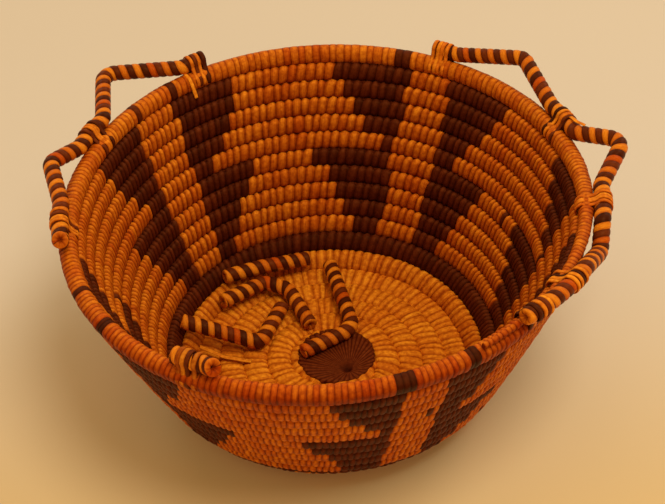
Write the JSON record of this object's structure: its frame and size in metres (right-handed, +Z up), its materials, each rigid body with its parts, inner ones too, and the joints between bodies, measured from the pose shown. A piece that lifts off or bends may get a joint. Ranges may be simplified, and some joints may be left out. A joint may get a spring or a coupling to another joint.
{
  "type": "coiled basket",
  "caption": "Open coiled basket with sloping walls, bent rod handles bound along the rim, and broken rods lying loose inside.",
  "frame": {"origin": "centre of the flat underside of the knot in the middle of the floor, on the surface the basket stands on", "axes": "+Z up out of the basket's mouth; +X to the right and -Y to the front, as the basket stands in its reference view"},
  "size_m": [0.225, 0.2109, 0.1044],
  "materials": {
    "straw_splint": "satin, stitched split palm or grass splint, warm straw",
    "dark_splint": "satin, stitched splint dyed dark brown",
    "wrapped_rod": "satin, rod wrapped in light and dark splint stripes"
  },
  "bodies": {
    "basket": {"centre_knot": "dark_splint", "base_coil": "straw_splint", "foot_coil": "dark_splint", "wall_coil_lower": "straw_splint", "wall_coil_middle": "straw_splint", "wall_coil_upper": "straw_splint", "rim_coil": "straw_splint", "handle_back_left": "wrapped_rod", "handle_left": "wrapped_rod", "handle_back_right": "wrapped_rod", "handle_right": "wrapped_rod", "handle_front_right": "wrapped_rod", "stub_left": "wrapped_rod", "stub_front": "wrapped_rod", "lashing_back_left": "dark_splint", "lashing_left_joint": "dark_splint", "lashing_left_front": "dark_splint", "lashing_back_right": "dark_splint", "lashing_right_joint": "dark_splint", "lashing_right_front": "dark_splint", "lashing_long_foot_heel": "dark_splint", "lashing_long_foot_end": "dark_splint", "lashing_front": "dark_splint"},
    "straight_rod": {"loose_rod_straight": "wrapped_rod"},
    "back_elbow": {"loose_elbow_back": "wrapped_rod"},
    "left_elbow": {"loose_elbow_left": "wrapped_rod", "peeled_splint": "straw_splint"},
    "middle_elbow": {"loose_elbow_middle": "wrapped_rod"}
  },
  "joints": [
    {"name": "straight_rod_lift", "type": "slide", "parent": "basket", "child": "straight_rod", "axis": [0, 0, 1], "range_m": [0, 0.1]},
    {"name": "back_elbow_lift", "type": "slide", "parent": "basket", "child": "back_elbow", "axis": [0, 0, 1], "range_m": [0, 0.1]},
    {"name": "left_elbow_lift", "type": "slide", "parent": "basket", "child": "left_elbow", "axis": [0, 0, 1], "range_m": [0, 0.1]},
    {"name": "middle_elbow_lift", "type": "slide", "parent": "basket", "child": "middle_elbow", "axis": [0, 0, 1], "range_m": [0, 0.1]}
  ]
}
